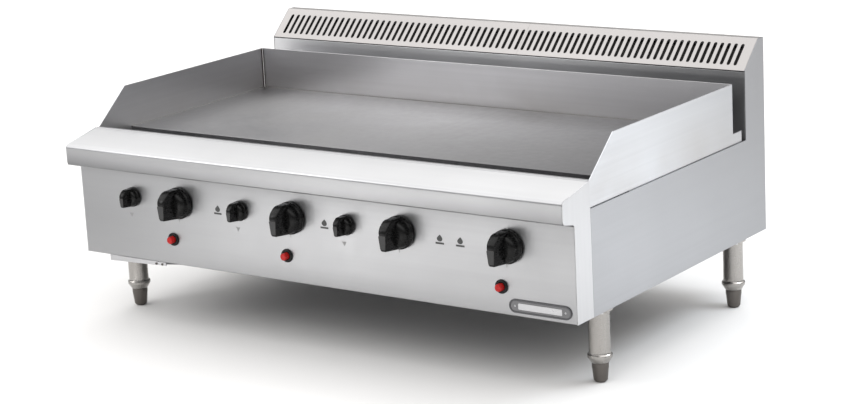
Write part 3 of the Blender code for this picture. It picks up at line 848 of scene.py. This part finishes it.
def controls():
    for number in range(1, 5):
        knob(f"control_knob_{number}", 1, KNOB_STEM)
    for number in range(1, 4):
        knob(f"pilot_knob_{number}", PILOT_KNOB_SCALE, PILOT_STEM)
        igniter(number)
    badge()
    panel_marks()


# ---------------------------------------------------------------- folded front and flue riser

# Millimetres: heights from the body's underside, depths from the panel's face, and bend radii
LIP_BOTTOM, LIP_TOP = 194, 235
LIP_BEND = 8
RAIL_FLAT = 52
RAIL_DROP = 20
RAIL_NOTCH, NOTCH_BOTTOM, NOTCH_TOP = 55.3, 180, 300
HEM_WIDTH, HEM_RISE = 9, 1.0
PANEL_FOLD, INNER_FLANGE = 38, 14


def body_point(x, y, z):
    """A place in body millimetres: X from the middle, Y from the panel's face, Z from the underside."""
    return Vector((x * MM, FRONT + y * MM, BODY_FLOOR + z * MM))


def folded_sheet(corners, thickness, span):
    """A sheet folded in the body's YZ plane that runs along X between two places in metres."""
    bm = slab(folded(corners, thickness), span[0] / MM, span[1] / MM)
    bm.transform(Matrix.Translation((0, FRONT, BODY_FLOOR)) @ ALONG_X)
    return bm


def sheet_part(name, corners, span, look, node):
    """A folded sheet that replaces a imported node."""
    bm = folded_sheet(corners, SHEET, span)
    return piece(name, bm, look, "root", [node])


def front_rail():
    low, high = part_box("bullnose_rail")
    reach, back = (FRONT - low.y) / MM, (high.y - FRONT) / MM
    top, under = (high.z - BODY_FLOOR) / MM, (PANEL_HIGH.z - BODY_FLOOR) / MM + 0.3
    corners = [
        (INNER_FLANGE, under, 0), (0, under, 2), (-reach, LIP_BOTTOM, 3), (-reach, LIP_TOP, LIP_BEND),
        (RAIL_FLAT, top - HEM_RISE, 6), (back - HEM_WIDTH - 1, top - HEM_RISE, 0),
        (back - HEM_WIDTH, top, 0), (back, top, 1.6), (back, top - RAIL_DROP, 0),
    ]
    span = (low.x, high.x)
    rail = sheet_part("front_rail", corners, span, "rail", "bullnose_rail")
    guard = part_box("splash_guard_right")[0].x - 0.0003
    for sign in (-1, 1):
        x = sorted((sign * guard, sign * HALF))
        near = body_point(x[0] / MM, RAIL_NOTCH, NOTCH_BOTTOM)
        far = body_point(x[1] / MM, back + 5, NOTCH_TOP)
        boolean(rail, object_of("notch", block(near, far)), "DIFFERENCE")
    smooth(rail, 30)


def panel_hole(radius, place):
    """A round cutter through the control panel's sheet."""
    cutter = lathe([(0, -6), (radius, -6), (radius, 6), (0, 6)], 32)
    return moved(cutter, (place.x, FRONT, place.z), OUT_OF_PANEL)


def front_panel():
    top = (PANEL_HIGH.z - PANEL_LOW.z) / MM
    corners = [(PANEL_FOLD, 0, 0), (0, 0, 2.2), (0, top, 2.2), (INNER_FLANGE, top, 0)]
    span = (PANEL_LOW.x, PANEL_HIGH.x)
    panel = sheet_part("front_panel", corners, span, "panel", "control_panel")
    holes = []
    for child, place in PIVOT.items():
        if "knob" in child:
            radius = KNOB_HOLE if child.startswith("control") else PILOT_HOLE
            holes.append(panel_hole(radius, place))
    for number in range(1, 4):
        holes.append(panel_hole(IGNITER_HOLE, on_panel(f"igniter_button_{number}")))
    boolean(panel, object_of("holes", merged(holes)), "DIFFERENCE")
    smooth(panel, 30)


# First slot's X and the pitch, in metres, and the number of slots
SLOT_ROWS = {"left": (-0.576, 0.0161, 40), "right": (0.068, 0.0153, 34)}
SLOT_LENGTH, SLOT_WIDTH = 54, 7.5
SLOPE_RUN, SLOPE_RISE = 60, 55
SLOT_PLACE = 0.475


def grille(side):
    """One half of the sloping top, with its round-ended slots."""
    node = f"flue_grille_{side}"
    low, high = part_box(node)
    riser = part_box("flue_front_panel")[0].y
    front, back = (riser - FRONT) / MM, (BACK - FRONT) / MM
    top = (high.z - BODY_FLOOR) / MM
    crest = front + SLOPE_RUN
    foot = top - SLOPE_RISE
    corners = [(front, foot, 0), (crest, top, 3), (back, top, 3), (back, top - 15, 0)]
    made = sheet_part(f"grille_{side}", corners, (low.x, high.x), "vent", node)
    lean = Matrix.Rotation(math.atan2(SLOPE_RISE, SLOPE_RUN), 4, "X")
    place = body_point(0, front + SLOPE_RUN * SLOT_PLACE, foot + SLOPE_RISE * SLOT_PLACE)
    start, pitch, count = SLOT_ROWS[side]
    slots = []
    for i in range(count):
        slot = slab([(y, x) for x, y in stadium(SLOT_LENGTH, SLOT_WIDTH, 6)][::-1], -8, 8)
        slots.append(moved(slot, place + Vector((start + i * pitch, 0, 0)), lean))
    boolean(made, object_of("slots", merged(slots)), "DIFFERENCE")
    smooth(made, 30)


BAFFLE_SPAN = (-0.59, 0.59)


def flue_baffle():
    """The inner duct that shows through the slots, near-black with soot and painted shade."""
    riser = (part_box("flue_front_panel")[0].y - FRONT) / MM
    top = (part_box("flue_grille_left")[1].z - BODY_FLOOR) / MM
    corners = [(riser + 8, top - 78, 0), (riser + 44, top - 22, 4), (riser + 74, top - 22, 0)]
    baffle = piece("flue_baffle", folded_sheet(corners, 1, BAFFLE_SPAN), "soot")
    smooth(baffle, 30)


def front_and_riser():
    front_rail()
    front_panel()
    grille("left")
    grille("right")
    flue_baffle()


# ---------------------------------------------------------------- weld beads


BEAD_PITCH, BEAD_RIPPLE = 3.2, 0.12
RINGS_TO_A_RIPPLE, BEAD_SIDES = 4, 6
PLATE_GAP, BEAD_SINK = 0.0002, 0.0006


def bead(name, start, end, inward, radius=1.5, look="weld"):
    """A rippled fillet weld along a straight inner corner, in metres; `inward` points out of the corner."""
    start, end, inward = Vector(start), Vector(end), Vector(inward).normalized()
    along = (end - start).normalized()
    side = along.cross(inward)
    count = int((end - start).length / (BEAD_PITCH * MM / RINGS_TO_A_RIPPLE))
    turns = [2 * math.pi * k / BEAD_SIDES for k in range(BEAD_SIDES)]
    section = [inward * math.cos(turn) + side * math.sin(turn) for turn in turns]
    rings = []
    for i in range(count + 1):
        centre = start + (end - start) * (i / count)
        size = radius * MM * (1 + BEAD_RIPPLE * math.cos(2 * math.pi * i / RINGS_TO_A_RIPPLE))
        rings.append([centre + spoke * size for spoke in section])
    smooth(piece(name, skinned(rings), look), 60)


def weld_beads():
    """The plate's seams against the three guards, and the guards' two upright corners, browned by heat."""
    low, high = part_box("griddle_plate")
    left, right = low.x - PLATE_GAP + BEAD_SINK, high.x + PLATE_GAP - BEAD_SINK
    rear = high.y + PLATE_GAP - BEAD_SINK
    level = high.z + PLATE_GAP - BEAD_SINK
    bead("bead_rear", (left, rear, level), (right, rear, level), (0, -1, 1))
    bead("bead_left", (left, low.y, level), (left, rear, level), (1, 0, 1))
    bead("bead_right", (right, low.y, level), (right, rear, level), (-1, 0, 1))
    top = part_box("splash_guard_rear")[1].z - 0.0004
    bead("bead_corner_left", (left, rear, level), (left, rear, top), (1, -1, 0), 1.3, "seam")
    bead("bead_corner_right", (right, rear, level), (right, rear, top), (-1, -1, 0), 1.3, "seam")


# ---------------------------------------------------------------- fasteners and fittings


def pan_head(radius):
    """A pan-head screw with a cross recess, as a mesh to copy."""
    profile = [
        (0, -1), (radius, -1), (radius, 0.5), (radius * 0.93, 1.2), (radius * 0.75, 1.8),
        (radius * 0.4, 2.2), (0, 2.3),
    ]
    head = object_of("head", lathe(profile, 28))
    for turn in (0, 90):
        cutter = slab(rectangle(radius * 1.2, 1), 1.0, 4)
        cutter.transform(Matrix.Rotation(math.radians(turn), 4, "Z"))
        boolean(head, object_of("slot", cutter), "DIFFERENCE")
    mesh = head.data
    bpy.data.objects.remove(head, do_unlink=True)
    return mesh


def screws(name, spots, turn, radius=3.6, look="screw", body="root"):
    """Screw heads at places in metres, all facing one way, each driven home at another angle."""
    mesh = pan_head(radius)
    heads = []
    for i, spot in enumerate(spots):
        head = bmesh.new()
        head.from_mesh(mesh)
        driven = Matrix.Rotation(0.7 * i, 4, "Z")
        heads.append(moved(head, spot, turn @ driven))
    smooth(piece(name, merged(heads), look, body))


def hexagon(across):
    radius = across / math.sqrt(3)
    turns = [math.radians(60 * i) for i in range(6)]
    return [(radius * math.cos(turn), radius * math.sin(turn)) for turn in turns]


CORNERS = ("front_left", "front_right", "rear_left", "rear_right")
LEG_FLANGE, BOLT_PLACE = 4, 17.5


def leg_bolts():
    """Four hex bolt heads under the flange at the top of each leg."""
    bolts = []
    for corner in CORNERS:
        low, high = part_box(f"leg_{corner}")
        centre = Vector(((low.x + high.x) / 2, (low.y + high.y) / 2, high.z - LEG_FLANGE * MM))
        for x, y in rectangle(2 * BOLT_PLACE, 2 * BOLT_PLACE):
            spot = centre + Vector((x, y, 0)) * MM
            bolts.append(moved(slab(hexagon(6), -0.3, 2.6), spot, DOWNWARDS))
    soften(piece("leg_bolts", merged(bolts), "screw"), 0.3)


LOUVRE_LENGTH, LOUVRE_REACH, LOUVRE_RISE = 170, 6.5, 13
LOUVRE_PITCH, LOUVRE_ROWS = 27, 6
LOUVRE_X, LOUVRE_FOOT = (-300, 250), 120
LOUVRE_STATIONS, LOUVRE_STEPS = 25, 6


def louvre():
    """One pressed hood: a quarter round that fades into the sheet at both ends."""
    rings = []
    for i in range(LOUVRE_STATIONS):
        place = 2 * i / (LOUVRE_STATIONS - 1) - 1
        swell = max(0.04, (1 - abs(place) ** 8)) ** 0.5
        across = place * LOUVRE_LENGTH / 2
        ring = []
        for step in range(LOUVRE_STEPS + 1):
            turn = math.pi / 2 * step / LOUVRE_STEPS
            out = LOUVRE_REACH * swell * math.cos(turn)
            ring.append(Vector((across, LOUVRE_RISE * math.sin(turn), out)) * MM)
        ring.append(Vector((across, 0, -0.2)) * MM)
        rings.append(ring)
    return skinned(rings)


def rear_louvres():
    """Two columns of pressed hoods in the back sheet, each with a dark strip under it as painted shade for
    the gap.
    """
    hoods, gaps = [], []
    for x in LOUVRE_X:
        for row in range(LOUVRE_ROWS):
            spot = Vector((x * MM, BACK + 0.0001, BODY_FLOOR + (LOUVRE_FOOT + row * LOUVRE_PITCH) * MM))
            hoods.append(moved(louvre(), spot, OUT_OF_BACK))
            gap = slab(rectangle(LOUVRE_LENGTH - 16, 1.5, y=-0.85), 0, 0.4)
            gaps.append(moved(gap, spot, OUT_OF_BACK))
    smooth(piece("rear_louvres", merged(hoods), "galvanised"), 50)
    piece("louvre_gaps", merged(gaps), "soot")


REAR_SCREW_ROWS = (12, 364)
REAR_SCREW_MIDDLE = 190
REAR_SCREW_MARGIN = 14


def rear_screws():
    """Screws round the edge of the back sheet."""
    half = HALF / MM - REAR_SCREW_MARGIN
    places = [(x, z) for z in REAR_SCREW_ROWS for x in (-half, -half / 3, half / 3, half)]
    places += [(-half, REAR_SCREW_MIDDLE), (half, REAR_SCREW_MIDDLE)]
    spots = [body_point(x, (BACK - FRONT) / MM, z) for x, z in places]
    screws("rear_screws", spots, OUT_OF_BACK, 4.4, "dark_screw")


def rating_plate():
    """A blank plate on the back, held by four rivets."""
    centre = body_point(-20, (BACK - FRONT) / MM + 0.2, 310)
    outline = filleted([(x, y, 3) for x, y in rectangle(90, 50)], 4)
    plate = moved(slab(outline, 0, 0.7), centre, OUT_OF_BACK)
    soften(piece("rating_plate", plate, "badge_dark"), 0.2)
    rivets = []
    for x, z in rectangle(80, 40):
        rivet = lathe([(0, 0.5), (2, 0.5), (1.8, 1.2), (1.1, 1.7), (0, 1.9)], 20)
        rivets.append(moved(rivet, centre + Vector((x, 0, z)) * MM, OUT_OF_BACK))
    smooth(piece("rating_plate_rivets", merged(rivets), "screw"))


PIPE_RADIUS = 10.5
INLET_THREADS = 7


def gas_inlet():
    """The collar round the gas pipe where it leaves the back, and the thread on its end."""
    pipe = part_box("gas_manifold")
    inlet = Vector((pipe[1].x - PIPE_RADIUS * MM, BACK, pipe[0].z + PIPE_RADIUS * MM))
    collar = [(11.2, 0.2), (24, 0.2), (24, 1.6), (23, 2.2), (13, 2.2), (11.2, 3)]
    smooth(piece("inlet_collar", moved(lathe(collar), inlet, OUT_OF_BACK), "galvanised"))
    reach = (pipe[1].y - BACK) / MM
    thread = [(7.5, -20), (10.6, -20), (10.6, 3)]
    pitch = (reach - 4) / INLET_THREADS
    for i in range(INLET_THREADS):
        base = 3.4 + i * pitch
        thread += [(10.7, base), (11.6, base + pitch * 0.45), (10.7, base + pitch * 0.9)]
    thread += [(10.6, reach - 0.4), (10.2, reach), (7.9, reach), (7.5, reach - 0.5)]
    smooth(piece("inlet_thread", moved(lathe(thread), inlet, OUT_OF_BACK), "brass"), 30)


TRAY_SCREW_X = (-412, -396)
UNDERSIDE_SCREW_X, UNDERSIDE_SCREW_Y = (-450, -150, 150, 450), (50, 715)


def tray_screws():
    """Two dark screws in the tray's front lip."""
    low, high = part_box("grease_tray")
    spots = [Vector((x * MM, low.y - 0.0002, high.z - 0.0045)) for x in TRAY_SCREW_X]
    screws("tray_screws", spots, OUT_OF_PANEL, 2.4, "foot", "grease_tray")


def underside_screws():
    """Screws along the front and rear edges of the bottom sheet."""
    spots = [body_point(x, y, 0) for y in UNDERSIDE_SCREW_Y for x in UNDERSIDE_SCREW_X]
    screws("underside_screws", spots, DOWNWARDS)


def fittings():
    leg_bolts()
    rear_louvres()
    rear_screws()
    rating_plate()
    gas_inlet()
    tray_screws()
    underside_screws()


# ---------------------------------------------------------------- legs


LEG_BORE = 70
FOOT_THREAD = 2.5


def leg(corner):
    """The tube with its flange and rolled collar, and the foot with its threaded stem."""
    node, foot_node = f"leg_{corner}", f"foot_{corner}"
    low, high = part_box(node)
    spot = Vector(((low.x + high.x) / 2, (low.y + high.y) / 2, low.z))
    tall = (high.z - low.z) / MM
    flange = tall - LEG_FLANGE
    tube = [
        (11, LEG_BORE), (11, 0.5), (11.5, 0), (16.4, 0), (17.2, 0.6), (21.6, 8), (23.2, 10), (23.8, 11.6),
        (23.8, 15.4), (23.2, 16.8), (21.6, 17.8), (20.9, 18.8), (20.5, 21), (20.5, flange - 4),
        (21, flange - 2), (22.4, flange - 0.4), (24, flange), (26.6, flange), (27, flange + 0.4),
        (27, tall - 0.3), (26.7, tall), (0, tall), (0, LEG_BORE),
    ]
    made = piece(f"{node}_tube", lathe(tube, 56), "leg", "root", [node])
    made.location = spot
    smooth(made)

    bottom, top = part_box(foot_node)
    tip = (low.z - bottom.z) / MM - 0.3
    total = (top.z - bottom.z) / MM
    profile = [
        (0, 0), (8.4, 0), (9.4, 0.4), (12.4, 3.2), (13.3, 4.8), (15.5, tip - 11), (16, tip - 9),
        (16, tip - 0.8), (15.4, tip), (10, tip),
    ]
    for turn in range(int((total - tip - 3) / FOOT_THREAD)):
        base = tip + 1 + turn * FOOT_THREAD
        for radius, part in ((9.3, 0), (10.5, 0.4), (10.5, 0.6), (9.3, 0.95)):
            profile.append((radius, base + FOOT_THREAD * part))
    profile += [(8.6, total), (0, total)]
    made = piece(f"{foot_node}_screw", lathe(profile, 40), "foot", foot_node, [foot_node])
    made.location = Vector((spot.x, spot.y, bottom.z))
    smooth(made, 30)


def legs():
    for corner in CORNERS:
        leg(corner)


make_looks()
studio()
dress_casing()
front_and_riser()
controls()
weld_beads()
fittings()
legs()
